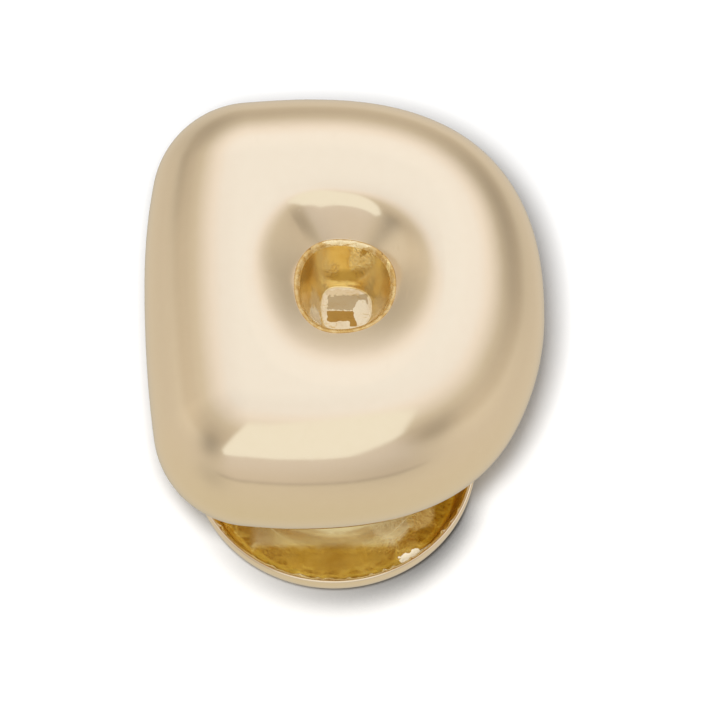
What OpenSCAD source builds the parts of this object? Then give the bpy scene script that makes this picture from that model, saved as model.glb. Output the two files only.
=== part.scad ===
// Puffy letter D charm with a stud back, in millimetres.
// Z is up, and the charm lies on the foot of its stud with the letter's face upwards.
// The origin is on that surface, below the middle of the letter.

/* [Letter] */
// Width of the letter
letter_w = 18; // [16:0.5:22]
// Height of the letter, from its foot to its head
letter_h = 20.8; // [18:0.2:26]
// Radius of the rounded side, which is half of the letter's thickness
side_r = 4.2; // [3.4:0.1:4.4]

/* [Counter] */
// Drop from the crown of the letter to the middle of the counter's rim
rim_drop = 1.24; // [1:0.005:1.8]
// How much further the rim drops for each millimetre towards the letter's head
rim_tilt = 0.145; // [0:0.005:0.25]
// How much further the rim drops for each square millimetre, towards head and foot alike
rim_bend = 0.015; // [0:0.001:0.05]
// Depth of the counter's floor below the crown
counter_depth = 3.8; // [3:0.1:4.6]

/* [Neck] */
// Gap between the back of the letter and the lip of the dish
neck_gap = 6; // [4.5:0.1:8]
// Radius of the neck
neck_r = 2.8; // [1.5:0.1:2.9]
// Radius of the hollow fillet where the neck stands on the dish
neck_fillet = 1.3; // [0.6:0.1:1.4]

/* [Dish] */
// Outer radius of the dish
dish_r = 6.4; // [5.8:0.1:8]
// Height of the dish, which is also the radius of its rounded side
dish_h = 2; // [1.8:0.1:2.4]
// Width of the flat on the lip
lip_w = 0.22; // [0.2:0.01:0.4]
// Depth of the hollow below the lip
hollow_depth = 1.25; // [1:0.05:1.3]
// How far the hollow's wall leans in from the lip to the floor
wall_lean = 0.5; // [0.4:0.05:0.6]
// Radius between the hollow's wall and its floor
floor_fillet = 0.5; // [0.3:0.05:0.6]
// Sideways offset of the dish from the middle of the letter
dish_x = -0.48; // [-1:0.01:1]
// Offset of the dish towards the letter's foot
dish_y = -1.85; // [-2.4:0.01:1]

/* [Hidden] */

lip_z = dish_h;
back_z = lip_z + neck_gap;
mid_z = back_z + side_r;
crown_z = mid_z + side_r;
counter_z = crown_z - counter_depth;
hollow_z = lip_z - hollow_depth;

// The ring is the middle line of the rounded limb, seen from the front.
ring_w = letter_w / 2 - side_r;
ring_h = letter_h / 2 - side_r;

// Ring rows, anticlockwise from the foot, with the place as shares of ring_w and ring_h,
// the heading in degrees, and the number of steps to the next row.
RX = 0;
RY = 1;
HEADING = 2;
STEPS = 3;
ring_rows = [
    [-0.45, -1, 0, 10],
    [0.83, -0.6, 65, 6],
    [1, -0.03, 90, 12],
    [0.58, 0.855, 149, 10],
    [-0.32, 1, 180, 5],
    [-0.87, 0.976, 185, 10],
    [-0.927, 0.935, 260, 8],
    [-1, 0.24, 270, 9],
    [-0.917, -0.934, 277, 10],
    [-0.86, -0.976, 354, 4]
];

// Rounded outlines inside the letter: a middle, four reaches from it and a squareness of 2 or more.
MIDDLE = 0;
RIGHT = 1;
TOP = 2;
LEFT = 3;
FOOT = 4;
SQUARE = 5;
rim_loop = [[-0.28, -0.03], 2.62, 2.54, 2, 2.66, 2.2];
floor_loop = [[-0.29, 0.14], 1.53, 1.04, 0.77, 1.2, 2.6];
// The brow, where the level crown starts to slope down, lies just inside the ring.
brow_share = 0.95;
brow_w = brow_share * ring_w;
brow_h = brow_share * ring_h;
brow_loop = [[0, 0], brow_w, brow_h, brow_w, brow_h, 2.2];

// Where the slope's shoulder lies on the way from the brow to the rim, and how gently it turns down,
// as shares of that way, at the sides of the counter and towards the letter's head and foot.
PLACE = 0;
WIDTH = 1;
side_shoulder = [0.24, 0.19];
head_shoulder = [0.62, 0.05];
foot_shoulder = [0.43, 0.2];

side_steps = 14;
crown_steps = 2;
slope_steps = 8;
wall_steps = 2;
arc_steps = 6;

// Point at a distance from the origin in a direction given in degrees.
function polar(r, a) = [r * cos(a), r * sin(a)];

// Turn from one heading to the next, always to the left.
function turn(a, b) = (b[HEADING] - a[HEADING] + 360) % 360;

function place(row) = [row[RX] * ring_w, row[RY] * ring_h];

// Handle length that makes a cubic curve follow an arc over the same chord and turn.
function handle(chord, angle) = chord * 2 / 3 * tan(angle / 4) / sin(angle / 2);

// Station [x, y, direction of the outward side] at share t of the cubic curve between two rows.
function station(a, b, t) =
    let (
        p0 = place(a),
        p3 = place(b),
        k = handle(norm(p3 - p0), turn(a, b)),
        p1 = p0 + polar(k, a[HEADING]),
        p2 = p3 - polar(k, b[HEADING]),
        u = 1 - t,
        p = u * u * u * p0 + 3 * u * u * t * p1 + 3 * u * t * t * p2 + t * t * t * p3,
        d = u * u * (p1 - p0) + 2 * u * t * (p2 - p1) + t * t * (p3 - p2)
    )
    [p[0], p[1], atan2(d[1], d[0]) - 90];

ring_last = len(ring_rows) - 1;
stations = [
    for (i = [0 : ring_last])
    let (a = ring_rows[i], b = ring_rows[i == ring_last ? 0 : i + 1])
    for (j = [0 : a[STEPS] - 1])
    station(a, b, j / a[STEPS])
];
count = len(stations);

// Radius of a rounded outline in a direction: four reaches joined as one superellipse.
function loop_r(loop, a) =
    let (
        across = cos(a) / (cos(a) > 0 ? loop[RIGHT] : loop[LEFT]),
        along = sin(a) / (sin(a) > 0 ? loop[TOP] : loop[FOOT])
    )
    pow(pow(abs(across), loop[SQUARE]) + pow(abs(along), loop[SQUARE]), -1 / loop[SQUARE]);

// The point of a rounded outline that faces a station.
function facing(loop, s) =
    let (d = [s[0], s[1]] - loop[MIDDLE], a = atan2(d[1], d[0]))
    loop[MIDDLE] + polar(loop_r(loop, a), a);

// Height of the rim at a point of its outline.
function rim_height(p) = crown_z - rim_drop - rim_tilt * p[1] - rim_bend * p[1] * p[1];

// Shoulder at a point of the rim: the head's or the foot's, by the square of the rim's direction.
function shoulder(p) =
    let (
        d = p - rim_loop[MIDDLE],
        lengthwise = d[1] / norm(d),
        share = lengthwise * lengthwise,
        end = lengthwise > 0 ? head_shoulder : foot_shoulder
    )
    side_shoulder + share * (end - side_shoulder);

// Level before the shoulder and a straight slope after it: ln(1 + e^x).
function bend(x) = ln(1 + exp(x));

// Share of the rim's drop at share t of the way from the brow.
function fall(t, s) =
    let (
        start = bend(-s[PLACE] / s[WIDTH]),
        end = bend((1 - s[PLACE]) / s[WIDTH])
    )
    (bend((t - s[PLACE]) / s[WIDTH]) - start) / (end - start);

function between(p, q, t) = [p[0] + t * (q[0] - p[0]), p[1] + t * (q[1] - p[1])];

// Rings of the letter's skin, from the edge of the flat back round the side and into the counter.
side_rings = [
    for (i = [0 : side_steps])
    let (a = -90 + 180 * i / side_steps)
    [for (s = stations)
        [s[0] + side_r * cos(a) * cos(s[2]), s[1] + side_r * cos(a) * sin(s[2]), mid_z + side_r * sin(a)]]
];
crown_rings = [
    for (i = [1 : crown_steps])
    [for (s = stations)
        let (p = between(s, facing(brow_loop, s), i / crown_steps))
        [p[0], p[1], crown_z]]
];
slope_rings = [
    for (i = [1 : slope_steps])
    let (t = i / slope_steps)
    [for (s = stations)
        let (rim = facing(rim_loop, s), p = between(facing(brow_loop, s), rim, t))
        [p[0], p[1], crown_z - (crown_z - rim_height(rim)) * fall(t, shoulder(rim))]]
];
wall_rings = [
    for (i = [1 : wall_steps])
    let (t = i / wall_steps)
    [for (s = stations)
        let (rim = facing(rim_loop, s), p = between(rim, facing(floor_loop, s), t))
        [p[0], p[1], rim_height(rim) + t * (counter_z - rim_height(rim))]]
];
rings = concat(side_rings, crown_rings, slope_rings, wall_rings);

// Points along an arc about a centre, from one direction to another.
function arc(centre, r, from, to) =
    [for (i = [0 : arc_steps]) centre + polar(r, from + (to - from) * i / arc_steps)];

// Letter: a rounded limb round a sunken blind counter, closed by a flat back.
module letter_body() {
    last = len(rings) - 1;
    back_mid = len(rings) * count;
    points = concat(
        [for (r = rings) each r],
        [[0, 0, back_z], [floor_loop[MIDDLE][0], floor_loop[MIDDLE][1], counter_z]]
    );
    skin = [
        for (i = [0 : last - 1])
        for (j = [0 : count - 1])
        let (k = (j + 1) % count, a = i * count + j, b = i * count + k)
        each [[a, a + count, b], [b, a + count, b + count]]
    ];
    back = [for (j = [0 : count - 1]) [back_mid, j, (j + 1) % count]];
    pit = [
        for (j = [0 : count - 1])
        [back_mid + 1, last * count + (j + 1) % count, last * count + j]
    ];
    color("wheat") polyhedron(points, concat(skin, back, pit));
}

// Neck: a plain round post that flares where it stands on the dish.
module neck_post() {
    foot_r = neck_r + neck_fillet;
    half = concat(
        [[0, hollow_z]],
        arc([foot_r, hollow_z + neck_fillet], neck_fillet, 270, 180),
        [[neck_r, back_z], [0, back_z]]
    );
    color("goldenrod")
        translate([dish_x, dish_y, 0])
            rotate_extrude($fn = 72)
                polygon(half);
}

// Dish: a shallow cup with a flat foot, a rounded side and a thin lip, open to the letter.
module back_dish() {
    inner_r = dish_r - lip_w;
    corner_r = inner_r - wall_lean - floor_fillet;
    half = concat(
        [[0, 0]],
        arc([dish_r - dish_h, dish_h], dish_h, 270, 360),
        [[inner_r, lip_z]],
        arc([corner_r, hollow_z + floor_fillet], floor_fillet, 0, -90),
        [[0, hollow_z]]
    );
    color("burlywood")
        translate([dish_x, dish_y, 0])
            rotate_extrude($fn = 96)
                polygon(half);
}

letter_body();
neck_post();
back_dish();
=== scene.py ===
import itertools
import math

import bpy
import numpy as np
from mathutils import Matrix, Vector


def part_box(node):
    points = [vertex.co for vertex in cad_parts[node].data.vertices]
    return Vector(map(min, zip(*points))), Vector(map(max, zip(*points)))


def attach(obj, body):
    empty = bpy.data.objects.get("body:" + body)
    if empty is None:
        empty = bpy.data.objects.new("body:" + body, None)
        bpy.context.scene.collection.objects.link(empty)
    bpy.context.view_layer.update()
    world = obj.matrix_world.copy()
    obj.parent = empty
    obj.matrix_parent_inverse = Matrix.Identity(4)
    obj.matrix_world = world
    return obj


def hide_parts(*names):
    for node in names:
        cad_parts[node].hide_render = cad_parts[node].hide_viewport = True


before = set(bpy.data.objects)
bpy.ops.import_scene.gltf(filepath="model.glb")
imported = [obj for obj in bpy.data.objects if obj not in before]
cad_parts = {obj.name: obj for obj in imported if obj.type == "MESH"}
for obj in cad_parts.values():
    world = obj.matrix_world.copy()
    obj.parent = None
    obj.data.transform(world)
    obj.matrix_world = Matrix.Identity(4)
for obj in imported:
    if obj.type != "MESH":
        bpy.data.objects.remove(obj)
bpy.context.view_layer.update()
print("frame loaded")

mm = 0.001
seed = 7    # changes every random draw


# Smoothstep from 0 at low to 1 at high
def rise(value, low, high):
    share = np.clip((value - low) / (high - low), 0, 1)
    return share * share * (3 - 2 * share)


# Smooth noise between -1 and 1: random numbers on a cubic lattice of the given cell, blended by smoothstep
# weights. Each draw has its own numbers.
def latticeNoise(points, cell, draw):
    size = 48    # lattice points each way, before it repeats
    lattice = np.random.default_rng(seed + draw).uniform(-1, 1, (size, size, size))
    place = points / cell
    base = np.floor(place).astype(int)
    weight = rise(place - base, 0, 1)
    total = np.zeros(points.shape[:-1])
    for corner in itertools.product((0, 1), repeat=3):
        x, y, z = np.moveaxis((base + corner) % size, -1, 0)
        total += lattice[x, y, z] * np.prod(np.where(corner, weight, 1 - weight), axis=-1)
    return total


# Crinkle height between 0 and 1: narrow ridges, (1 - |noise|)^4, of the given cell and of a finer one
def crinkle(points, cell, draw):
    fineCell, fineShare, sharpness = 0.45, 0.35, 4
    coarse = 1 - np.abs(latticeNoise(points, cell, draw))
    fine = 1 - np.abs(latticeNoise(points, cell * fineCell, draw + 1))
    return (1 - fineShare) * coarse ** sharpness + fineShare * fine ** sharpness


# Outward normals of a grid of rings: the step round the ring crossed with the step to the next ring
def gridNormals(rings):
    around = np.roll(rings, -1, axis=1) - np.roll(rings, 1, axis=1)
    onward = np.gradient(rings, axis=0)
    normal = np.cross(around, onward)
    return normal / np.maximum(np.linalg.norm(normal, axis=2, keepdims=True), 1e-12)


# Closed mesh from a grid of rings: quads between the rings and a fan to a pole at each end. Each ring has the
# number of the material that the faces after it take.
def meshFromRings(name, rings, firstPole, lastPole, materials, ringMaterial):
    rows, count = rings.shape[:2]
    points = np.concatenate([rings.reshape(-1, 3), [firstPole, lastPole]])
    ring = np.arange(count)
    after = (ring + 1) % count
    start = (np.arange(rows - 1) * count)[:, None]
    quads = np.stack([start + ring, start + after, start + count + after, start + count + ring], axis=-1)
    lastRow = (rows - 1) * count
    firstFan = np.stack([np.full(count, rows * count), after, ring], axis=-1)
    lastFan = np.stack([lastRow + ring, lastRow + after, np.full(count, rows * count + 1)], axis=-1)
    corners = np.concatenate([quads.ravel(), firstFan.ravel(), lastFan.ravel()])
    sizes = np.repeat([4, 3], [(rows - 1) * count, 2 * count])
    mesh = bpy.data.meshes.new(name)
    mesh.vertices.add(len(points))
    mesh.vertices.foreach_set("co", points.astype(np.float32).ravel())
    mesh.loops.add(len(corners))
    mesh.loops.foreach_set("vertex_index", corners.astype(np.int32))
    mesh.polygons.add(len(sizes))
    mesh.polygons.foreach_set("loop_start", np.concatenate([[0], np.cumsum(sizes)[:-1]]).astype(np.int32))
    for material in materials:
        mesh.materials.append(material)
    faceMaterial = np.repeat([*ringMaterial[:-1], ringMaterial[0], ringMaterial[-1]], count)
    mesh.polygons.foreach_set("material_index", faceMaterial.astype(np.int32))
    mesh.update(calc_edges=True)
    mesh.validate()
    mesh.shade_smooth()
    piece = bpy.data.objects.new(name, mesh)
    bpy.context.scene.collection.objects.link(piece)
    return piece


# Length from the start of a line to each of its points
def lengthAlong(line):
    return np.concatenate([[0], np.cumsum(np.linalg.norm(np.diff(line, axis=0), axis=1))])


# Profile of corner points joined by straight lines, each corner rounded by an arc of its own radius, evenly
# resampled
def roundedProfile(corners, spacing):
    arcPoints = 24
    corners = np.array(corners, float)
    line = [corners[:1, :2]]
    for before, corner, following in zip(corners[:-2], corners[1:-1], corners[2:]):
        radius = corner[2]
        toBefore = before[:2] - corner[:2]
        toBefore = toBefore / np.linalg.norm(toBefore)
        toNext = following[:2] - corner[:2]
        toNext = toNext / np.linalg.norm(toNext)
        half = math.acos(np.clip(toBefore @ toNext, -1, 1)) / 2
        bisector = (toBefore + toNext) / np.linalg.norm(toBefore + toNext)
        middle = corner[:2] + bisector * radius / math.sin(half)
        first = corner[:2] + toBefore * (radius / math.tan(half)) - middle
        turn = (math.pi - 2 * half) * np.sign(toBefore[1] * toNext[0] - toBefore[0] * toNext[1])
        angle = np.linspace(0, turn, arcPoints)[:, None]
        line.append(middle + first * np.cos(angle) + np.array([-first[1], first[0]]) * np.sin(angle))
    line.append(corners[-1:, :2])
    line = np.concatenate(line)
    length = lengthAlong(line)
    steps = max(2, int(round(length[-1] / spacing)))
    where = np.linspace(0, length[-1], steps + 1)
    return np.stack([np.interp(where, length, line[:, 0]), np.interp(where, length, line[:, 1])], axis=1)


# Turned surface: each profile point [radius, height] carried round a vertical axis
def turned(profile, centre, count):
    angle = np.linspace(0, 2 * math.pi, count, endpoint=False)
    radius = profile[:, :1]
    x = centre[0] + radius * np.cos(angle)
    y = centre[1] + radius * np.sin(angle)
    return np.stack([x, y, np.broadcast_to(profile[:, 1:2], x.shape)], axis=2)


# An input takes a link from a socket, or else a value
def feed(tree, socket, value):
    if isinstance(value, bpy.types.NodeSocket):
        tree.links.new(value, socket)
    else:
        socket.default_value = value


# What a node of one kind and operation gives for sockets or values
def operated(tree, kind, operation, values):
    node = tree.nodes.new(kind)
    node.operation = operation
    for socket, value in zip(node.inputs, values):
        feed(tree, socket, value)
    return node.outputs


# Maths on numbers
def maths(tree, operation, *values):
    return operated(tree, "ShaderNodeMath", operation, values)["Value"]


# The same on vectors, where a dot product and a length come out as numbers
def vectorMaths(tree, operation, *values):
    result = "Value" if operation in ("DOT_PRODUCT", "LENGTH") else "Vector"
    return operated(tree, "ShaderNodeVectorMath", operation, values)[result]


def times(tree, first, second):
    return maths(tree, "MULTIPLY", first, second)


# Cosine between two directions, or how far a place lies along one
def along(tree, first, second):
    return vectorMaths(tree, "DOT_PRODUCT", first, second)


def scaled(tree, colour, factor):
    node = tree.nodes.new("ShaderNodeVectorMath")
    node.operation = "SCALE"
    tree.links.new(colour, node.inputs[0])
    tree.links.new(factor, node.inputs["Scale"])
    return node.outputs["Vector"]


# Smoothstep of a value from 0 at low to 1 at high
def smoothStep(tree, value, low, high):
    node = tree.nodes.new("ShaderNodeMapRange")
    node.interpolation_type = "SMOOTHSTEP"
    tree.links.new(value, node.inputs["Value"])
    node.inputs["From Min"].default_value = low
    node.inputs["From Max"].default_value = high
    return node.outputs["Result"]


# From the least to the most of two numbers, by a share
def between(tree, share, limits):
    least, most = limits
    return maths(tree, "MULTIPLY_ADD", share, most - least, least)


# One colour over another by a share; each is a socket or three numbers
def blend(tree, share, under, over):
    node = tree.nodes.new("ShaderNodeMix")
    node.data_type = "RGBA"
    tree.links.new(share, node.inputs["Factor"])
    for name, colour in (("A", under), ("B", over)):
        socket = next(i for i in node.inputs if i.name == name and i.type == "RGBA")
        feed(tree, socket, colour if isinstance(colour, bpy.types.NodeSocket) else (*colour, 1))
    return next(o for o in node.outputs if o.type == "RGBA")


# An empty shader group, with the sockets inside it that lead in and out; what it puts out are numbers
def newGroup(name, vectors, numbers, results):
    group = bpy.data.node_groups.new(name, "ShaderNodeTree")
    for direction, kind, sockets in (("INPUT", "Vector", vectors), ("INPUT", "Float", numbers),
                                     ("OUTPUT", "Float", results)):
        for socketName in sockets:
            group.interface.new_socket(socketName, in_out=direction, socket_type="NodeSocket" + kind)
    return group, group.nodes.new("NodeGroupInput").outputs, group.nodes.new("NodeGroupOutput").inputs


# A group placed in a material or in the world, with its own values: sockets, numbers or vectors
def placeGroup(tree, group, **values):
    node = tree.nodes.new("ShaderNodeGroup")
    node.node_tree = group
    for name, value in values.items():
        feed(tree, node.inputs[name], value)
    return node.outputs


# Smooth noise between 0 and 1 of a cell, which is a socket or a number
def noise(tree, place, cell, detail=2, roughness=0.5, output="Fac"):
    node = tree.nodes.new("ShaderNodeTexNoise")
    tree.links.new(place, node.inputs["Vector"])
    node.inputs["Detail"].default_value = detail
    node.inputs["Roughness"].default_value = roughness
    linked = isinstance(cell, bpy.types.NodeSocket)
    feed(tree, node.inputs["Scale"], maths(tree, "DIVIDE", 1, cell) if linked else 1 / cell)
    return node.outputs[output]


# Place turned by so many degrees in the plane of the letter's face, and scaled
def mapped(tree, place, turn, scale=(1, 1, 1)):
    node = tree.nodes.new("ShaderNodeMapping")
    tree.links.new(place, node.inputs["Vector"])
    node.inputs["Rotation"].default_value = (0, 0, math.radians(turn))
    node.inputs["Scale"].default_value = scale
    return node.outputs["Vector"]


# Fine grain group: noise of one small cell for the height, and of a larger cell for the shade
def fineGrainGroup():
    shadeCell = 5    # times the grain's
    group, into, out = newGroup("fineGrain", ["Position"], ["Cell"], ["Height", "Shade"])
    group.links.new(noise(group, into["Position"], into["Cell"], 3, 0.6), out["Height"])
    shade = noise(group, into["Position"], times(group, into["Cell"], shadeCell))
    group.links.new(shade, out["Shade"])
    return group


# Hairlines: fine scratches along a few ways, each in its own places
hairline = {
    "ways": ((12, 0.045), (-38, 0.04), (74, 0.05)),    # turn in degrees, and the scale along the lines
    "width": 0.11 * mm,
    "cut": (0.79, 0.83),      # between these values of the noise a line comes in
    "placeCell": 4.5 * mm,
    "placeCut": (0.52, 0.6),
}


# Hairline group: noise drawn out along one way, cut off near its top, where a broad noise lets it show; the
# strongest of the ways
def hairlineGroup():
    group, into, out = newGroup("hairlines", ["Position"], ["Amount"], ["Mask"])
    total = None
    for turn, scale in hairline["ways"]:
        streak = noise(group, mapped(group, into["Position"], turn, (1, scale, 1)), hairline["width"], 0)
        line = smoothStep(group, streak, *hairline["cut"])
        places = noise(group, mapped(group, into["Position"], turn), hairline["placeCell"], 0)
        line = times(group, line, smoothStep(group, places, *hairline["placeCut"]))
        total = line if total is None else maths(group, "MAXIMUM", total, line)
    group.links.new(times(group, total, into["Amount"]), out["Mask"])
    return group


# Cast crinkle group: ridges where smooth noise n passes through its middle, (1 - |2 n - 1|)^sharpness, of the
# cell and of a smaller one, and hollows, a smoothstep of broader noise
def castCrinkleGroup():
    smallCell, smallShare, hollowCell, hollowCut = 0.4, 0.4, 2.5, (0.38, 0.62)
    group, into, out = newGroup("castCrinkle", ["Position"], ["Cell", "Sharpness"], ["Height", "Hollow"])

    def ridge(cell):
        value = maths(group, "MULTIPLY_ADD", noise(group, into["Position"], cell, 1), 2, -1)
        value = maths(group, "SUBTRACT", 1, maths(group, "ABSOLUTE", value))
        return maths(group, "POWER", value, into["Sharpness"])

    broad, small = ridge(into["Cell"]), ridge(times(group, into["Cell"], smallCell))
    broad = times(group, broad, 1 - smallShare)
    group.links.new(maths(group, "MULTIPLY_ADD", small, smallShare, broad), out["Height"])
    broader = noise(group, into["Position"], times(group, into["Cell"], hollowCell), 3)
    group.links.new(smoothStep(group, broader, *hollowCut), out["Hollow"])
    return group


# Ragged patch group: inside a box round a middle, by the least of half size - |place - middle|, or inside an
# oval, by (1 - |(place - middle) / half size|) times the lesser half. Noise shifts the place, which makes the
# sides ragged.
def raggedPatchGroup():
    group, into, out = newGroup("raggedPatch", ["Position", "Middle", "HalfSize"],
                                ["Ragged", "Cell", "Softness", "Roundness"], ["Mask"])

    def lesser(vector):    # of its X and Y
        parts = group.nodes.new("ShaderNodeSeparateXYZ")
        group.links.new(vector, parts.inputs["Vector"])
        return maths(group, "MINIMUM", parts.outputs["X"], parts.outputs["Y"])

    scatter = noise(group, into["Position"], into["Cell"], 3, output="Color")
    shift = vectorMaths(group, "SUBTRACT", scatter, (0.5, 0.5, 0.5))
    place = vectorMaths(group, "ADD", into["Position"], scaled(group, shift, into["Ragged"]))
    away = vectorMaths(group, "ABSOLUTE", vectorMaths(group, "SUBTRACT", place, into["Middle"]))
    inBox = lesser(vectorMaths(group, "SUBTRACT", into["HalfSize"], away))
    reach = vectorMaths(group, "LENGTH", vectorMaths(group, "DIVIDE", away, into["HalfSize"]))
    inOval = times(group, maths(group, "SUBTRACT", 1, reach), lesser(into["HalfSize"]))
    inside = maths(group, "MULTIPLY_ADD", maths(group, "SUBTRACT", inOval, inBox), into["Roundness"], inBox)
    inside = maths(group, "DIVIDE", inside, into["Softness"])
    group.links.new(smoothStep(group, inside, -0.5, 0.5), out["Mask"])
    return group


fineGrain = fineGrainGroup()
hairlines = hairlineGroup()
castCrinkle = castCrinkleGroup()
raggedPatch = raggedPatchGroup()


# A new material with its tree, its shader and the place on the object
def newMaterial(name):
    material = bpy.data.materials.new(name)
    material.use_nodes = True
    tree = material.node_tree
    place = tree.nodes.new("ShaderNodeTexCoord").outputs["Object"]
    return material, tree, tree.nodes["Principled BSDF"], place


# Bump layers one over another, each a height and how far it stands out
def bumped(tree, shader, layers):
    normal = None
    for height, distance in layers:
        node = tree.nodes.new("ShaderNodeBump")
        node.inputs["Distance"].default_value = distance
        tree.links.new(height, node.inputs["Height"])
        if normal is not None:
            tree.links.new(normal, node.inputs["Normal"])
        normal = node.outputs["Normal"]
    tree.links.new(normal, shader.inputs["Normal"])


# Polished gold: the letter's skin and the outside and lip of the dish
polished = {
    "colour": (0.88, 0.765, 0.60),
    "dullColour": (0.865, 0.745, 0.575),
    "roughness": (0.10, 0.135),       # least and most
    "grainCell": 0.09 * mm,
    "grainHeight": 0.0004 * mm,
    "waveCell": 2.6 * mm,
    "waveHeight": 0.012 * mm,
    "rippleCell": 0.9 * mm,
    "rippleHeight": 0.003 * mm,
    "hairlines": 1.0,
    "hairlineDepth": 0.0006 * mm,
    "hairlineRoughness": 0.12,
}


def makePolishedGold():
    material, tree, shader, place = newMaterial("polishedGold")
    grain = placeGroup(tree, fineGrain, Position=place, Cell=polished["grainCell"])
    lines = placeGroup(tree, hairlines, Position=place, Amount=polished["hairlines"])["Mask"]
    wave = noise(tree, place, polished["waveCell"], 1)
    ripple = noise(tree, place, polished["rippleCell"], 1)
    colour = blend(tree, grain["Shade"], polished["dullColour"], polished["colour"])
    tree.links.new(colour, shader.inputs["Base Color"])
    rough = between(tree, grain["Shade"], polished["roughness"])
    rough = maths(tree, "MULTIPLY_ADD", lines, polished["hairlineRoughness"], rough)
    tree.links.new(rough, shader.inputs["Roughness"])
    shader.inputs["Metallic"].default_value = 1
    bumped(tree, shader, [(wave, polished["waveHeight"]), (ripple, polished["rippleHeight"]),
                          (grain["Height"], polished["grainHeight"]), (lines, polished["hairlineDepth"])])
    return material


# A patch or a crinkled place: a box round a middle, in millimetres, whose sides noise of a cell makes ragged.
# A patch has a colour, here painted light or shade, and dull, which is how much less metallic it is, so that
# the key lamp lights it more. A crinkled place has an amount.
def box(middle, halfSize, ragged, cell, softness=0.03, **more):
    return {"middle": middle, "halfSize": halfSize, "ragged": ragged, "cell": cell, "softness": softness,
            "roundness": 0, "dull": 0, **more}


# The same as an oval
def oval(*sizes, **more):
    return box(*sizes, roundness=1, **more)


# Cast gold: what the unpolished counter, the neck and the hollow of the dish have in common
cast = {
    "roughness": (0.14, 0.3),     # least and most
    "crinkleSharpness": 5,
    "crinkleShare": 1.0,          # of the crinkles everywhere, and more in the crinkled places
    "crinkled": (),
    "grainCell": 0.07 * mm,
    "grainHeight": 0.0005 * mm,
    "metallic": 1.0,
    "patches": (),                # later ones lie over earlier ones
}
# Rough edge of the counter: a deeper gold, with painted highlights at the head and the right, and two dark
# specks of painted shade in small pits
lip = {
    "colour": (0.78, 0.58, 0.28),
    "hollowColour": (0.68, 0.44, 0.15),
    "roughness": (0.22, 0.34),
    "crinkleCell": 0.12 * mm,
    "crinkleHeight": 0.012 * mm,
    "metallic": 0.9,
    "patches": (
        # Painted highlights at the head and the right
        oval((-0.2, 2.36), (0.9, 0.1), 0.12, 0.12, colour=(0.93, 0.79, 0.50), dull=0.14),
        oval((0.85, 2.18), (0.7, 0.12), 0.12, 0.12, colour=(0.93, 0.79, 0.50), dull=0.14),
        oval((1.98, 1.0), (0.07, 0.6), 0.1, 0.15, colour=(0.92, 0.74, 0.36)),
        # Painted shade of two small pits
        box((-1.62, 1.98), (0.1, 0.06), 0.06, 0.1, colour=(0.2, 0.09, 0.03)),
        box((1.8, 1.68), (0.12, 0.05), 0.06, 0.1, colour=(0.2, 0.09, 0.03)),
    ),
}
# Thin brown line round the outside of that edge: painted shade in the groove where the slope meets the lip
lipGrooveShade = {
    "colour": (0.66, 0.43, 0.17),
    "hollowColour": (0.52, 0.30, 0.10),
    "roughness": (0.25, 0.4),
    "crinkleCell": 0.12 * mm,
    "crinkleHeight": 0.012 * mm,
    "metallic": 0.9,
}
# Wall of the counter: a dark band of painted shade across the head side with a lighter one below it, paler
# strips beside them, both painted reflections, crinkles at the upper right and a pale rough foot to the left
# and right of the floor, a painted highlight
pit = {
    "colour": (0.86, 0.67, 0.30),
    "hollowColour": (0.79, 0.575, 0.21),
    "crinkleCell": 0.3 * mm,
    "crinkleHeight": 0.005 * mm,
    "metallic": 0.94,
    "patches": (
        # Pale patches are painted reflections and highlights, dark ones painted shade
        oval((0.82, 1.8), (0.6, 0.5), 0.25, 0.25, 0.14, colour=(1, 0.87, 0.51)),
        oval((-1.0, 1.45), (0.42, 0.8), 0.3, 0.5, 0.3, colour=(0.88, 0.76, 0.47)),
        oval((1.5, 0.85), (0.5, 0.9), 0.3, 0.5, 0.35, colour=(0.86, 0.74, 0.40)),
        oval((0.1, 1.47), (1.0, 0.17), 0.2, 0.5, 0.15, colour=(0.56, 0.40, 0.14)),
        oval((-0.25, 1.22), (0.8, 0.12), 0.1, 0.3, 0.08, colour=(0.98, 0.84, 0.50)),
        box((0.95, 1.94), (0.22, 0.08), 0.45, 0.16, 0.06, colour=(0.62, 0.42, 0.12)),
        oval((-1.3, -0.15), (0.24, 0.9), 0.3, 0.25, 0.15, colour=(0.90, 0.78, 0.55), dull=0.16),
        oval((-1.3, -0.85), (0.26, 0.7), 0.3, 0.2, 0.1, colour=(1, 0.94, 0.80), dull=0.36),
        oval((1.45, -0.2), (0.25, 0.6), 0.25, 0.3, 0.15, colour=(0.88, 0.74, 0.44), dull=0.08),
    ),
    "crinkleShare": 0.3,
    "crinkled": (
        oval((1.0, 1.92), (0.75, 0.4), 0.2, 0.3, 0.3, amount=7),
        oval((-0.55, 1.65), (0.35, 0.25), 0.2, 0.3, 0.2, amount=5),
        box((-1.25, -0.2), (0.25, 0.9), 0.2, 0.3, 0.1, amount=5),
        box((1.4, -0.1), (0.25, 0.5), 0.2, 0.3, 0.1, amount=5),
    ),
}
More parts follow.
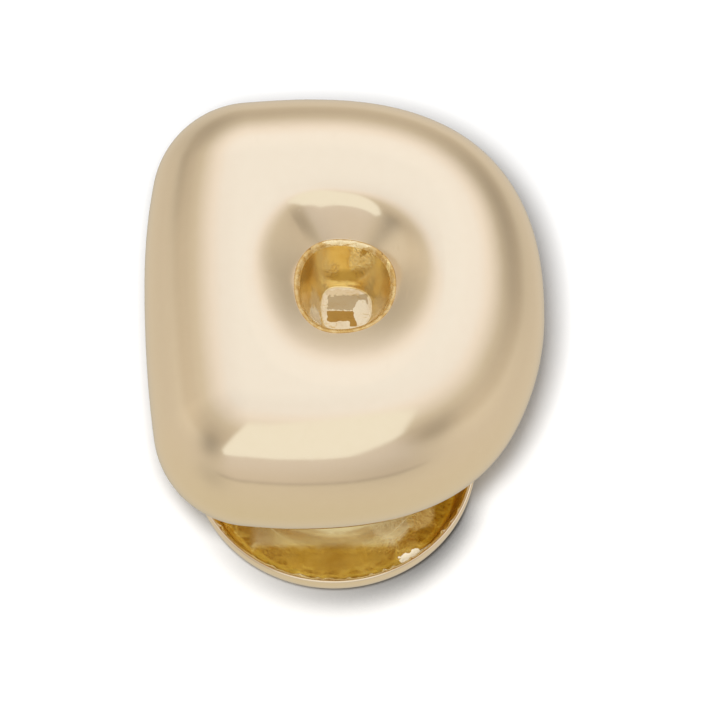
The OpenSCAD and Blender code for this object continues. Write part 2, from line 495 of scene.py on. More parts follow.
# Floor of the counter: pale metal with painted reflections on it, a dull grey patch and a paler strip over
# it, a brown patch below it that has a leg, and a pale oval at the right
pitFloor = {
    "colour": (0.80, 0.65, 0.43),
    "hollowColour": (0.77, 0.61, 0.39),
    "crinkleCell": 0.2 * mm,
    "crinkleHeight": 0.004 * mm,
    "patches": (
        # Painted reflections of the counter's surroundings and of its wall
        box((0.15, 0.42), (0.9, 0.4), 0.22, 0.14, colour=(0.50, 0.365, 0.195)),
        box((-0.1, 0.9), (0.75, 0.14), 0.3, 0.12, colour=(0.74, 0.56, 0.33)),
        box((-0.1, -0.3), (0.69, 0.27), 0.2, 0.2, colour=(0.42, 0.225, 0.05)),
        box((0.4, -0.62), (0.16, 0.22), 0.06, 0.2, colour=(0.42, 0.225, 0.05)),
        oval((0.76, -0.1), (0.36, 0.66), 0.3, 0.25, colour=(0.80, 0.66, 0.45)),
    ),
}
# Hollow of the dish, and the neck in it: a deep gold with painted reflections, a paler zone in the middle, a
# bright crinkled one to its right and a dark one beyond that, and a painted highlight, a pale rough spot at
# the lip
hollow = {
    "colour": (0.80, 0.585, 0.165),
    "hollowColour": (0.75, 0.52, 0.11),
    "crinkleCell": 0.4 * mm,
    "crinkleHeight": 0.008 * mm,
    "metallic": 0.97,
    "patches": (
        # Painted reflections, and last a painted highlight on real crinkles
        box((-0.9, -4.3), (3.2, 1.4), 0.3, 0.4, 0.5, colour=(1, 0.92, 0.60), dull=0.1),
        oval((-0.3, -4.85), (1.6, 0.3), 0.2, 0.5, 0.2, colour=(0.76, 0.62, 0.34)),
        oval((2.1, -4.05), (1.1, 1.35), 0.5, 0.3, 0.3, colour=(1, 0.90, 0.58), dull=0.25),
        oval((3.35, -3.9), (0.7, 0.95), 0.5, 0.3, 0.2, colour=(0.98, 0.80, 0.36), dull=0.06),
        oval((4.75, -3.9), (0.75, 1.6), 0.5, 0.4, 0.25, colour=(0.54, 0.32, 0.03)),
        oval((3.9, -5.2), (0.7, 0.5), 0.4, 0.4, 0.2, colour=(0.56, 0.34, 0.04)),
        oval((3.25, -6.5), (0.78, 0.58), 0.5, 0.2, colour=(1, 0.94, 0.80), dull=0.6),
    ),
    "crinkleShare": 0.2,
    "crinkled": (
        box((2.9, -4.7), (1.5, 1.3), 0.5, 0.5, 0.3, amount=1.1),
        box((-1, -5.9), (3.2, 0.25), 0.4, 0.5, 0.2, amount=0.8),
        box((3.2, -6.5), (0.8, 0.6), 0.3, 0.5, 0.2, amount=3),
        box((-5.7, -4.3), (0.5, 0.9), 0.3, 0.5, 0.2, amount=1.5),
        box((5.1, -4.4), (0.5, 1.1), 0.3, 0.5, 0.2, amount=1.5),
    ),
}


# Mask of one patch or crinkled place
def patchMask(tree, place, patch):
    middle, halfSize = ((*(mm * value for value in patch[key]), 0) for key in ("middle", "halfSize"))
    return placeGroup(tree, raggedPatch, Position=place, Middle=middle, HalfSize=halfSize,
                      Ragged=patch["ragged"] * mm, Cell=patch["cell"] * mm, Softness=patch["softness"] * mm,
                      Roundness=patch["roundness"])["Mask"]


# Each material takes the cast gold's values and changes or adds the ones given
def makeCastGold(name, changes):
    look = {**cast, **changes}
    material, tree, shader, place = newMaterial(name)
    grain = placeGroup(tree, fineGrain, Position=place, Cell=look["grainCell"])
    folds = placeGroup(tree, castCrinkle, Position=place, Cell=look["crinkleCell"],
                       Sharpness=look["crinkleSharpness"])
    colour = blend(tree, folds["Hollow"], look["hollowColour"], look["colour"])
    metallic = look["metallic"]
    for patch in look["patches"]:
        mask = patchMask(tree, place, patch)
        colour = blend(tree, mask, colour, patch["colour"])
        # A dull patch takes diffuse light from the key lamp, so its painted light shows brighter
        if patch["dull"]:
            metallic = maths(tree, "SUBTRACT", metallic, times(tree, mask, patch["dull"]))
    tree.links.new(colour, shader.inputs["Base Color"])
    feed(tree, shader.inputs["Metallic"], metallic)
    tree.links.new(between(tree, grain["Shade"], look["roughness"]), shader.inputs["Roughness"])
    share = look["crinkleShare"]
    for crinkled in look["crinkled"]:
        share = maths(tree, "MULTIPLY_ADD", patchMask(tree, place, crinkled), crinkled["amount"], share)
    folded = times(tree, folds["Height"], share)
    bumped(tree, shader, [(folded, look["crinkleHeight"]), (grain["Height"], look["grainHeight"])])
    return material


polishedGold = makePolishedGold()
lipGold = makeCastGold("lipGold", lip)
# The lip's brown edge line is painted shade in its groove
grooveShadeGold = makeCastGold("grooveShadeGold", lipGrooveShade)
pitGold = makeCastGold("pitGold", pit)
floorGold = makeCastGold("floorGold", pitFloor)
dishGold = makeCastGold("dishGold", hollow)
print("materials made")

letterLow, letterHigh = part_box("letter_body")
neckLow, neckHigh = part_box("neck_post")
dishLow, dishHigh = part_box("back_dish")

# Letter
letter = {
    # Middle line of the limb, anticlockwise from the foot: x and y as shares of its half sizes, and heading
    "limbRows": (
        (-0.45, -1, 0), (0.83, -0.6, 65), (1, -0.03, 90), (0.58, 0.855, 149), (-0.32, 1, 180),
        (-0.87, 0.976, 185), (-0.927, 0.935, 260), (-1, 0.24, 270), (-0.917, -0.934, 277),
        (-0.86, -0.976, 354),
    ),
    "curvePoints": 200,        # worked out between two rows, before the stations are set
    "stations": 400,
    "stationsOut": 0.7,        # they are even where the side is this share of its radius further out
    # Rings of each stretch, from the back to the counter's middle; the edge is the brown line on the lip,
    # painted shade in the groove where the slope meets it
    "rings": {"back": 7, "side": 65, "crown": 8, "slope": 44, "lip": 14, "edge": 2, "wall": 50, "floor": 29},
    # Brow, where the crown starts to slope down: a rounded outline drawn a little towards the limb's own
    "browShare": 0.95,         # of the limb's half width and height
    "browSquareness": 2.2,
    "browLimbShare": 0.13,
    "browLimbSize": 0.97,
    "rimDrop": 1.24 * mm,      # below the crown, at the middle
    "rimTilt": 0.145,          # further drop for each step towards the head
    "rimBend": 0.015 / mm,     # and for each step squared, either way
    # Shoulder of the slope: share of the way from the brow to the rim, and width, at the sides, head and foot
    "sideShoulder": (0.235, 0.21),
    "headShoulder": (0.60, 0.08),
    "headSharpness": 0.5,      # below 2, the head's width also holds towards the sides
    "footShoulder": (0.42, 0.22),
    "shoulderTwist": (0.035, 0.13),    # how much later it comes to the right, and to the right of the head
    "slopeCrowding": 1.4,      # above 1, the slope's rings lie closer together near the rim
    # Outlines of the counter: a middle, the reaches from it to the right, head, left and foot, and squareness
    "rimMiddle": (-0.28 * mm, -0.03 * mm),
    "rimReach": (2.62 * mm, 2.54 * mm, 2.0 * mm, 2.66 * mm),
    "rimSquareness": 2.2,
    "floorMiddle": (-0.29 * mm, 0.14 * mm),
    "floorReach": (1.53 * mm, 1.04 * mm, 0.77 * mm, 1.2 * mm),
    "floorSquareness": 2.6,
    "counterDepth": 3.8 * mm,
    # Rough golden edge of the counter
    "lipWidth": 0.28 * mm,
    "lipHeight": 0.035 * mm,
    "lipFall": 0.13 * mm,
    "lipFallPower": 1.5,
    "lipJitter": 0.035 * mm,   # sideways
    "lipRoughness": 0.6,       # share of its height that varies
    "lipCell": 0.16 * mm,
    # Wall: a share of the crinkles high up, which comes in below the lip, and the rest lower down
    "wallCrinkle": 0.02 * mm,
    "wallCell": 0.36 * mm,
    "wallCrinkleHigh": 0.06,
    "wallCrinkleStart": 0.15,
    "wallCrinkleLow": (0.6, 0.95),
    "wallBulge": 0.07 * mm,
    # Floor: where things start and end, as shares of the way from its middle
    "floorBorder": 0.03 * mm,
    "borderStart": 0.72,
    "floorDents": 0.05 * mm,
    "dentCell": 0.55 * mm,
    "dentsEnd": 0.85,
    "floorRidges": 0.015 * mm,
    "ridgeCell": 0.16 * mm,
    "ridgesStart": (0.5, 0.75),
    "ridgesEnd": 0.93,
}


# Limb line: a cubic curve between each two rows, whose handles follow a round arc over the same chord and
# turn, resampled evenly along a line that is set off outwards, and given as [x, y] with the outward way
def limbLine(look, halfWidth, halfHeight, offset):
    rows = np.array(look["limbRows"])
    following = np.roll(rows, -1, axis=0)
    size = np.array([halfWidth, halfHeight])
    start = rows[:, :2] * size
    end = following[:, :2] * size
    heading = np.radians(rows[:, 2])
    turn = np.radians((following[:, 2] - rows[:, 2]) % 360)
    handle = np.linalg.norm(end - start, axis=1) * 2 / 3 * np.tan(turn / 4) / np.sin(turn / 2)
    leave = start + handle[:, None] * np.stack([np.cos(heading), np.sin(heading)], axis=1)
    nextHeading = heading + turn
    arrive = end - handle[:, None] * np.stack([np.cos(nextHeading), np.sin(nextHeading)], axis=1)
    t = np.linspace(0, 1, look["curvePoints"], endpoint=False)[None, :, None]
    s = 1 - t
    start, leave, arrive, end = (p[:, None, :] for p in (start, leave, arrive, end))
    line = s ** 3 * start + 3 * s * s * t * leave + 3 * s * t * t * arrive + t ** 3 * end
    step = s * s * (leave - start) + 2 * s * t * (arrive - leave) + t * t * (end - arrive)
    line, step = line.reshape(-1, 2), step.reshape(-1, 2)
    outward = np.stack([step[:, 1], -step[:, 0]], axis=1) / np.linalg.norm(step, axis=1, keepdims=True)
    both = np.concatenate([line, outward], axis=1)
    both = np.concatenate([both, both[:1]])
    length = lengthAlong(both[:, :2] + offset * both[:, 2:])
    where = np.linspace(0, length[-1], look["stations"], endpoint=False)
    line = np.stack([np.interp(where, length, both[:, i]) for i in range(4)], axis=1)
    outward = line[:, 2:] / np.linalg.norm(line[:, 2:], axis=1, keepdims=True)
    return line[:, :2], outward


# Rounded outline: from a middle, four reaches joined as one superellipse, at the angle that faces each point
def facingLoop(points, middle, reach, squareness):
    middle = np.asarray(middle)
    away = points - middle
    away = away / np.linalg.norm(away, axis=1, keepdims=True)
    across = np.abs(away[:, 0]) / np.where(away[:, 0] > 0, reach[0], reach[2])
    lengthwise = np.abs(away[:, 1]) / np.where(away[:, 1] > 0, reach[1], reach[3])
    radius = (across ** squareness + lengthwise ** squareness) ** (-1 / squareness)
    return middle + away * radius[:, None]


# Share of the slope's drop at a share of its way: a shoulder ln(1 + e^((way - place) / width)), with a small
# twist. Its place and width go from the sides' to the head's or the foot's by the square of how lengthwise
# the rim's direction is, and the head's width by a power of its own.
def slopeFall(look, share, rim):
    away = rim - np.array(look["rimMiddle"])
    across, lengthwise = (away / np.linalg.norm(away, axis=1, keepdims=True)).T
    shoulders = ("sideShoulder", "headShoulder", "footShoulder")
    side, head, foot = (np.array(look[name])[:, None] for name in shoulders)
    square = lengthwise ** 2
    toEnd = np.stack([square, np.where(lengthwise > 0, np.abs(lengthwise) ** look["headSharpness"], square)])
    place, width = side + toEnd * (np.where(lengthwise > 0, head, foot) - side)
    twist, headTwist = look["shoulderTwist"]
    place = place + across * (twist + headTwist * lengthwise)
    start, end = np.logaddexp(0, -place / width), np.logaddexp(0, (1 - place) / width)
    return (np.logaddexp(0, (share - place) / width) - start) / (end - start)


# Points [x, y] with their heights
def level(points, z):
    return np.concatenate([points, np.broadcast_to(z, points.shape[:-1])[..., None]], axis=-1)


# Shares of a stretch's way, t, at each of its rings after the start
def ringShares(count):
    return np.linspace(0, 1, count + 1)[1:, None]


# Lip, from the rim inwards: a low wave (1 - cos 2 pi t) / 2 less a fall t^power, made ragged by noise
def lipRings(look, rim, rimZ, floor):
    inward = floor - rim
    inward = inward / np.linalg.norm(inward, axis=1, keepdims=True)
    ragged = latticeNoise(level(rim, rimZ), look["lipCell"], 0)
    t = ringShares(look["rings"]["lip"])
    reach = look["lipWidth"] * t + look["lipJitter"] * ragged * np.sin(np.pi * t)
    wave = look["lipHeight"] * (1 + look["lipRoughness"] * ragged) * (1 - np.cos(2 * np.pi * t)) / 2
    return level(rim + reach[..., None] * inward, rimZ + (wave - look["lipFall"] * t ** look["lipFallPower"]))


# Wall of the counter, from the lip to the floor: straight, with a bulge of sin pi t, and crinkles along its
# normal
def wallRings(look, top, topZ, floor, floorZ):
    t = ringShares(look["rings"]["wall"])
    wall = level(top + t[..., None] * (floor - top), topZ + t * (floorZ - topZ))
    high = look["wallCrinkleHigh"]
    depth = look["wallCrinkle"] * (high + (1 - high) * rise(t, *look["wallCrinkleLow"]))
    depth = rise(t, 0, look["wallCrinkleStart"]) * depth * crinkle(wall, look["wallCell"], 2)
    return wall + (depth - look["wallBulge"] * np.sin(np.pi * t))[..., None] * gridNormals(wall)


# Floor of the counter, from its outline to its middle: level, dented by noise, with crinkle ridges near its
# sides and a raised border; and its middle point
def floorRings(look, floor, floorZ):
    middle = np.array(look["floorMiddle"])
    t = np.linspace(1, 0, look["rings"]["floor"] + 2)[1:-1, None]
    rings = level(middle + t[..., None] * (floor - middle), floorZ)
    centre = np.array([*middle, floorZ])
    dents, centreDent = (look["floorDents"] * latticeNoise(points, look["dentCell"], 4)
                         for points in (rings, centre[None]))
    border = rise(t, look["borderStart"], 1) ** 2 * look["floorBorder"]
    dents = (1 - t ** 4) * dents * (1 - rise(t, look["dentsEnd"], 1))
    ridges = look["floorRidges"] * rise(t, *look["ridgesStart"]) * crinkle(rings, look["ridgeCell"], 5)
    rings[..., 2] += border + dents + ridges * (1 - rise(t, look["ridgesEnd"], 1))
    centre[2] += centreDent[0]
    return rings, centre


# Letter: rings round the limb line, over the flat back, the half-round side, the level crown, the slope (the
# drop times its fall), the lip, the wall and the floor
def letterRings(look):
    backZ, crownZ = letterLow.z, letterHigh.z
    radius = (crownZ - backZ) / 2
    halfSize = (letterHigh.x - letterLow.x) / 2 - radius, (letterHigh.y - letterLow.y) / 2 - radius
    limb, outward = limbLine(look, *halfSize, look["stationsOut"] * radius)
    browReach = tuple(look["browShare"] * half for half in halfSize * 2)
    brow = facingLoop(limb, (0, 0), browReach, look["browSquareness"])
    brow = brow + look["browLimbShare"] * (look["browLimbSize"] * limb - brow)
    rim = facingLoop(limb, look["rimMiddle"], look["rimReach"], look["rimSquareness"])
    floor = facingLoop(limb, look["floorMiddle"], look["floorReach"], look["floorSquareness"])
    rimDrop = look["rimDrop"] + look["rimTilt"] * rim[:, 1] + look["rimBend"] * rim[:, 1] ** 2
    floorZ = crownZ - look["counterDepth"]

    counts = look["rings"]
    back = level(ringShares(counts["back"] + 1)[:-1, :, None] * limb, backZ)
    angle = np.radians(np.linspace(-90, 90, counts["side"]))[:, None]
    side = level(limb + radius * np.cos(angle)[..., None] * outward, backZ + radius + radius * np.sin(angle))
    crown = level(limb + ringShares(counts["crown"])[..., None] * (brow - limb), crownZ)
    t = 1 - np.linspace(1, 0, counts["slope"] + 1)[1:, None] ** look["slopeCrowding"]
    slope = level(brow + t[..., None] * (rim - brow), crownZ - rimDrop * slopeFall(look, t, rim))
    lipping = lipRings(look, rim, crownZ - rimDrop, floor)
    wall = wallRings(look, lipping[-1, :, :2], lipping[-1, :, 2], floor, floorZ)
    bottom, centre = floorRings(look, floor, floorZ)
    rings = np.concatenate([back, side, crown, slope, lipping, wall, bottom])
    skin = len(back) + len(side) + len(crown) + len(slope) - 1
    ringMaterial = np.repeat([0, 1, 2, 3, 4], [skin, counts["edge"], counts["lip"] - counts["edge"],
                                               counts["wall"], counts["floor"] + 1])
    return rings, (0, 0, backZ), centre, ringMaterial


def makeLetter():
    rings, firstPole, lastPole, ringMaterial = letterRings(letter)
    materials = [polishedGold, grooveShadeGold, lipGold, pitGold, floorGold]
    piece = meshFromRings("letterBody", rings, firstPole, lastPole, materials, ringMaterial)
    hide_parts("letter_body")
    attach(piece, "root")
    print("letter made")


makeLetter()

# Neck
neck = {
    "radius": 2.8 * mm,
    "flare": (1.3 * mm, 0.8 * mm),    # out and up, where it stands on the dish
    "sunk": 0.04 * mm,                # into the dish
    "points": {"under": 12, "flare": 48, "post": 40, "top": 12},    # of each stretch of its profile
    "count": 240,
}


# Neck: a turned profile, level just under the dish's floor, a quarter of an ellipse for the flare, then
# straight to the letter's back
def makeNeck():
    centre = ((neckLow.x + neckHigh.x) / 2, (neckLow.y + neckHigh.y) / 2)
    radius, sunk, (out, up), points = neck["radius"], neck["sunk"], neck["flare"], neck["points"]
    bottom, top = neckLow.z - sunk, neckHigh.z
    angle = np.radians(np.linspace(0, 90, points["flare"]))
    under = np.linspace((0, bottom), (radius + out + sunk, bottom), points["under"])[1:]
    flare = np.stack([radius + out * (1 - np.sin(angle)), neckLow.z + up * (1 - np.cos(angle))], axis=1)
    post = np.linspace(flare[-1], (radius, top), points["post"])[1:]
    end = np.linspace((radius, top), (0, top), points["top"])[1:-1]
    rings = turned(np.concatenate([under, flare, post, end]), centre, neck["count"])
    piece = meshFromRings("neckPost", rings, (*centre, bottom), (*centre, top), [dishGold],
                          np.zeros(len(rings)))
    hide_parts("neck_post")
    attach(piece, "root")
    print("neck made")


makeNeck()

# Dish
dish = {
    "lipWidth": 0.22 * mm,
    "hollowDepth": 1.25 * mm,
    "wallLean": 0.5 * mm,
    "floorFillet": 0.5 * mm,
    "spacing": 0.06 * mm,               # of the hollow's rings
    "points": {"foot": 16, "side": 60, "lip": 17},
    "count": 420,
    "burr": (0.14 * mm, 0.06 * mm),     # ragged inner edge of the lip, inwards and up
    "burrCell": 0.2 * mm,
    "burrFade": 0.11 * mm,
    "burrSides": (0.6, 0.4),            # share at the sides, and how much more at the foot than there
    "wallCrinkle": 0.06 * mm,
    "wallCell": 0.55 * mm,
    "wallFrom": (1.3 * mm, 0.7 * mm),   # in from the lip, where the crinkles come in
}


# Dish: a turned profile of the flat foot, the quarter-round side, the half-round lip and the hollow. The burr
# is the positive part of noise, fading as e^-(distance / fade)^2 from the lip's inner edge. The hollow's wall
# has crinkles along its normal.
def makeDish():
    radius = (dishHigh.x - dishLow.x) / 2
    top, bottom = dishHigh.z, dishLow.z
    centre = ((dishLow.x + dishHigh.x) / 2, (dishLow.y + dishHigh.y) / 2)
    lip, height, points = dish["lipWidth"] / 2, top - bottom, dish["points"]
    angle = np.radians(np.linspace(-90, 0, points["side"]))
    outside = np.stack([radius - height + height * np.cos(angle),
                        top - lip + (height - lip) * np.sin(angle)], axis=1)
    outside = np.concatenate([np.linspace((0, bottom), outside[0], points["foot"])[:-1], outside])
    angle = np.radians(np.linspace(0, 180, points["lip"]))[1:]
    lipRoll = np.stack([radius - lip + lip * np.cos(angle), top - lip + lip * np.sin(angle)], axis=1)
    innerRadius = radius - dish["lipWidth"]
    floorZ = top - dish["hollowDepth"]
    corner = (innerRadius - dish["wallLean"], floorZ, dish["floorFillet"])
    inside = roundedProfile([(innerRadius, top - lip, 0), corner, (0, floorZ, 0)], dish["spacing"])
    profile = np.concatenate([outside[1:], lipRoll, inside[1:-1]])
    rings = turned(profile, centre, dish["count"])
    lipRow = len(outside) - 1 + len(lipRoll) - 1
    length = lengthAlong(profile)
    near = np.exp(-((length - length[lipRow]) / dish["burrFade"]) ** 2)[:, None]
    away = (rings[:, :, :2] - centre) / profile[:, :1, None]
    sides, more = dish["burrSides"]
    ragged = np.maximum(latticeNoise(rings, dish["burrCell"], 7), 0) * near * (sides - more * away[:, :, 1])
    rings[:, :, :2] -= dish["burr"][0] * ragged[..., None] * away
    rings[:, :, 2] += dish["burr"][1] * ragged
    onWall = rise(profile[:, 0], *(innerRadius - distance for distance in dish["wallFrom"]))
    onWall = onWall * rise(length, length[lipRow], length[lipRow + 3])
    folds = dish["wallCrinkle"] * onWall[:, None] * crinkle(rings, dish["wallCell"], 8)
    rings = rings + folds[..., None] * gridNormals(rings)
    ringMaterial = np.repeat([0, 1], [lipRow - 1, len(inside)])
    piece = meshFromRings("dishBody", rings, (*centre, bottom), (*centre, floorZ), [polishedGold, dishGold],
                          ringMaterial)
    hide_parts("back_dish")
    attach(piece, "root")
    print("dish made")


makeDish()

# Camera
cameraSet = {
    "elevation": 62,                                   # degrees above the floor, looking along +Y
    "frameWidth": 32.4 * mm,
    "shiftRight": 0.70 * mm, "shiftUp": -2.05 * mm,    # of the frame's middle from the letter's middle
    "distance": 0.3,
    "clip": (0.01, 10),
}


def makeCamera():
    elevation = math.radians(cameraSet["elevation"])
    back = np.array([0, -math.cos(elevation), math.sin(elevation)])
    up = np.array([0, math.sin(elevation), math.cos(elevation)])
    middle = np.array([0, 0, (letterLow.z + letterHigh.z) / 2])
    aim = middle + cameraSet["shiftRight"] * np.array([1, 0, 0]) + cameraSet["shiftUp"] * up
    data = bpy.data.cameras.new("camera")
    data.type = "ORTHO"
    data.ortho_scale = cameraSet["frameWidth"]
    camera = bpy.data.objects.new("camera", data)
    camera.location = aim + cameraSet["distance"] * back
    camera.rotation_euler = (math.pi / 2 - elevation, 0, 0)
    data.clip_start, data.clip_end = cameraSet["clip"]
    bpy.context.scene.collection.objects.link(camera)
    bpy.context.scene.camera = camera


makeCamera()
print("camera set")

# Light tent
tent = {
    "middle": (14, 63),       # azimuth from the head side towards the right, and elevation, in degrees
    # Degrees from the middle, and the light there
    "falloff": (
        (0, (1.08, 1.10, 1.14)), (25, (1.10, 1.10, 1.13)), (35, (1.07, 1.025, 1.005)),
        (45, (0.915, 0.86, 0.80)), (55, (0.745, 0.68, 0.575)), (65, (0.67, 0.60, 0.50)),
        (75, (0.69, 0.615, 0.505)), (85, (0.785, 0.715, 0.605)), (100, (0.74, 0.67, 0.565)),
        (180, (0.705, 0.635, 0.475)),
    ),
    # Azimuth, elevation, size in degrees and depth of each soft dark place; a depth below 0 makes a bright
    # one. The last is the charm's own shadow.
    "darkPlaces": (
        (132, 31, 14, 0.31), (-124, 27, 15, 0.42), (47, 8, 29, 0.38), (-28, -2, 27, 0.29),
        (-53, 1, 9, 0.18), (90, 62, 23, 0.09), (-72, 66, 26, 0.17), (47, 22, 16, -0.22),
        (-74, 25, 14, -0.13), (156, 8, 20, 0.15), (-139, -8, 16, 0.16), (0, -66, 20, 0.3),
    ),
    "fillLight": 0.29,        # light that reaches the floor from all round
    "fillSide": (-0.5, 0.4, 0.3),
}
panel = {
    "elevation": 58,          # in front, above the camera's line
    "colour": (0.99, 0.99, 0.93),
    # Edges: outward direction to the right and up, distance from the middle, softness
    "edges": (
        (1, 0, 0.44, 0.03), (0.77, -0.64, 0.43, 0.04), (0.05, -1, 0.475, 0.02), (-1, -0.2, 0.806, 0.03),
        (-0.72, 0.69, 0.276, 0.05), (0, 1, 0.5, 0.16), (0.6, 0.8, 0.5, 0.1),
    ),
    "facing": (0.06, 0.1),    # the cosine to its middle over which it comes in; nothing behind shows it
    "leastFacing": 0.05,
}
wall = {                      # pale wall in front, below the panel, down to the edge of the table
    "azimuth": 180, "halfWidth": 34, "softness": 8,
    "colour": (0.77, 0.71, 0.65), "lowColour": (0.72, 0.645, 0.55),
    "colourRise": (0.0, 0.5),      # heights are the sine of the elevation
    "topFade": (-0.76, -0.6),      # of the height with its sign turned
    "edge": -1.0, "edgeSoftness": 0.006, "lineWidth": 2.2, "lineDepth": 0.22,
}
floorKey = {
    "towards": (-0.033, -0.482, 1), "distance": 0.5, "size": 0.048, "power": 2.35,
}


def unitVector(azimuth, elevation):
    azimuth, elevation = math.radians(azimuth), math.radians(elevation)
    out = math.cos(elevation)
    return (math.sin(azimuth) * out, math.cos(azimuth) * out, math.sin(elevation))


# Dark place group: 1 less a depth that falls off as e^(tightness * (cosine - 1)) round a direction
def darkPlaceGroup():
    group, into, out = newGroup("darkPlace", ["Direction", "Middle"], ["Tightness", "Depth"], ["Light"])
    cosine = along(group, into["Direction"], into["Middle"])
    away = maths(group, "SUBTRACT", cosine, 1)
    fall = maths(group, "EXPONENT", times(group, away, into["Tightness"]))
    group.links.new(maths(group, "SUBTRACT", 1, times(group, fall, into["Depth"])), out["Light"])
    return group


# Panel's outline: the product of its soft straight edges, on a flat sheet that faces the letter
def panelMask(tree, direction):
    tilt = math.radians(panel["elevation"])
    forward = along(tree, direction, (0, -math.cos(tilt), math.sin(tilt)))
    forward = maths(tree, "MAXIMUM", forward, panel["leastFacing"])
    right = maths(tree, "DIVIDE", along(tree, direction, (1, 0, 0)), forward)
    up = maths(tree, "DIVIDE", along(tree, direction, (0, math.sin(tilt), math.cos(tilt))), forward)
    mask = smoothStep(tree, forward, *panel["facing"])
    for outRight, outUp, distance, softness in panel["edges"]:
        reach = maths(tree, "ADD", times(tree, right, outRight), times(tree, up, outUp))
        inside = smoothStep(tree, times(tree, reach, -1), -distance - softness, softness - distance)
        mask = times(tree, mask, inside)
    return mask


# Front wall: a share by azimuth, between the table's edge and the panel, and its colour by elevation; and the
# dark line along the table's edge, whose depth falls off as e^-(distance / width)^2
def addWall(tree, direction, light):
    front = along(tree, direction, unitVector(wall["azimuth"], 0))
    height = along(tree, direction, (0, 0, 1))
    flat = maths(tree, "SUBTRACT", 1, times(tree, height, height))
    flat = maths(tree, "SQRT", maths(tree, "MAXIMUM", flat, 0.0001))
    low, high = (math.cos(math.radians(wall["halfWidth"] + side * wall["softness"])) for side in (1, -1))
    inFront = smoothStep(tree, maths(tree, "DIVIDE", front, flat), low, high)
    edge = math.sin(math.radians(wall["edge"]))
    above = smoothStep(tree, height, edge - wall["edgeSoftness"], edge + wall["edgeSoftness"])
    below = smoothStep(tree, times(tree, height, -1), *wall["topFade"])
    colour = blend(tree, smoothStep(tree, height, *wall["colourRise"]), wall["lowColour"], wall["colour"])
    share = times(tree, times(tree, inFront, above), below)
    width = math.sin(math.radians(wall["lineWidth"]))
    off = maths(tree, "DIVIDE", maths(tree, "SUBTRACT", height, edge), width)
    line = maths(tree, "EXPONENT", times(tree, times(tree, off, off), -1))
    line = times(tree, times(tree, line, wall["lineDepth"]), inFront)
    return scaled(tree, blend(tree, share, light, colour), maths(tree, "SUBTRACT", 1, line))


# Tent: light by the angle from its middle, times the dark places, with the front wall and the panel over it.
# The camera sees white, and the floor gets an even fill that is stronger from one side.
def makeTent():
    world = bpy.data.worlds.new("tent")
    world.use_nodes = True
    tree = world.node_tree
    direction = tree.nodes.new("ShaderNodeTexCoord").outputs["Generated"]
    angle = maths(tree, "ARCCOSINE", along(tree, direction, unitVector(*tent["middle"])))
    ramp = tree.nodes.new("ShaderNodeValToRGB")
    tree.links.new(maths(tree, "DIVIDE", angle, math.pi), ramp.inputs["Fac"])
    stops = ramp.color_ramp.elements
    while len(stops) < len(tent["falloff"]):
        stops.new(1)
    for stop, (degrees, colour) in zip(stops, tent["falloff"]):
        stop.position = degrees / 180
        stop.color = (*colour, 1)
    light = addWall(tree, direction, ramp.outputs["Color"])
    group = darkPlaceGroup()
    for azimuth, elevation, size, depth in tent["darkPlaces"]:
        place = placeGroup(tree, group, Direction=direction, Middle=unitVector(azimuth, elevation),
                           Tightness=2 / math.radians(size) ** 2, Depth=depth)
        light = scaled(tree, light, place["Light"])
    light = blend(tree, panelMask(tree, direction), light, panel["colour"])
    path = tree.nodes.new("ShaderNodeLightPath")
    fill = times(tree, maths(tree, "ADD", along(tree, direction, tent["fillSide"]), 1), tent["fillLight"])
    grey = tree.nodes.new("ShaderNodeCombineColor")
    for channel in grey.inputs:
        tree.links.new(fill, channel)
    light = blend(tree, path.outputs["Is Diffuse Ray"], light, grey.outputs["Color"])
    light = blend(tree, path.outputs["Is Camera Ray"], light, (1, 1, 1))
    tree.links.new(light, tree.nodes["Background"].inputs["Color"])
    bpy.context.scene.world = world


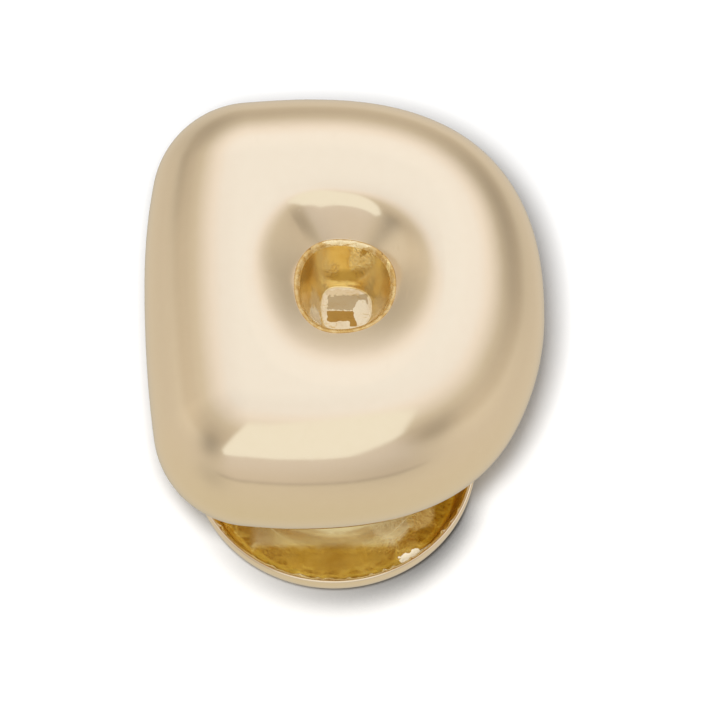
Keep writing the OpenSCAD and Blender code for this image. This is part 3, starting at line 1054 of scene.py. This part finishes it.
# Key light: a small square lamp near the camera's line, which throws the charm's shadow to its lower right
def makeKey():
    data = bpy.data.lights.new("floorKey", "AREA")
    data.size = floorKey["size"]
    data.energy = floorKey["power"]
    light = bpy.data.objects.new("floorKey", data)
    light.location = Vector(floorKey["towards"]).normalized() * floorKey["distance"]
    light.rotation_euler = (-light.location).to_track_quat("-Z", "Y").to_euler()
    light.visible_camera = False
    light.visible_glossy = False
    bpy.context.scene.collection.objects.link(light)


makeTent()
makeKey()
print("lights set")

# Floor: white to the camera, and left out of reflections, where the tent's table stands for it
floorLook = {
    "half": 3.0,
    "white": (0.95, 0.95, 0.95),
    # The shaded colour is a painted shadow on the floor, close to the metal
    "shaded": (0.1, 0.1, 0.1),         # close to the metal, where its shadow is deepest
    "shadedWithin": 1.65 * mm,
    "shadedFull": 0.65,                # share of the sky that the metal hides there
    "shadedRight": (0.06 / mm, 0.68),  # gain to the right and share at the middle, up to 1
    "shadedFoot": (1 * mm, 4.5 * mm),  # comes in over this stretch towards the foot
    "samples": 8,
    "roughness": 0.9,
}


def makeFloor():
    half = floorLook["half"]
    mesh = bpy.data.meshes.new("floor")
    corners = [(x * half, y * half, 0) for x, y in ((-1, -1), (1, -1), (1, 1), (-1, 1))]
    mesh.from_pydata(corners, [], [(0, 1, 2, 3)])
    material, tree, shader, place = newMaterial("floorWhite")
    # Painted shadow: the colour darkens to grey where nearby metal hides the sky, more to the right and
    # towards the foot
    near = tree.nodes.new("ShaderNodeAmbientOcclusion")
    near.samples = floorLook["samples"]
    near.inputs["Distance"].default_value = floorLook["shadedWithin"]
    side = maths(tree, "MULTIPLY_ADD", along(tree, place, (1, 0, 0)), *floorLook["shadedRight"])
    footward = smoothStep(tree, along(tree, place, (0, -1, 0)), *floorLook["shadedFoot"])
    side = times(tree, maths(tree, "MINIMUM", side, 1), footward)
    hidden = smoothStep(tree, maths(tree, "SUBTRACT", 1, near.outputs["AO"]), 0, floorLook["shadedFull"])
    shaded = times(tree, hidden, side)
    tree.links.new(blend(tree, shaded, floorLook["white"], floorLook["shaded"]), shader.inputs["Base Color"])
    shader.inputs["Roughness"].default_value = floorLook["roughness"]
    shader.inputs["Specular IOR Level"].default_value = 0
    mesh.materials.append(material)
    floor = bpy.data.objects.new("floor", mesh)
    floor.visible_glossy = False
    bpy.context.scene.collection.objects.link(floor)


makeFloor()
bpy.context.scene.view_settings.view_transform = "Standard"
print("stage set")
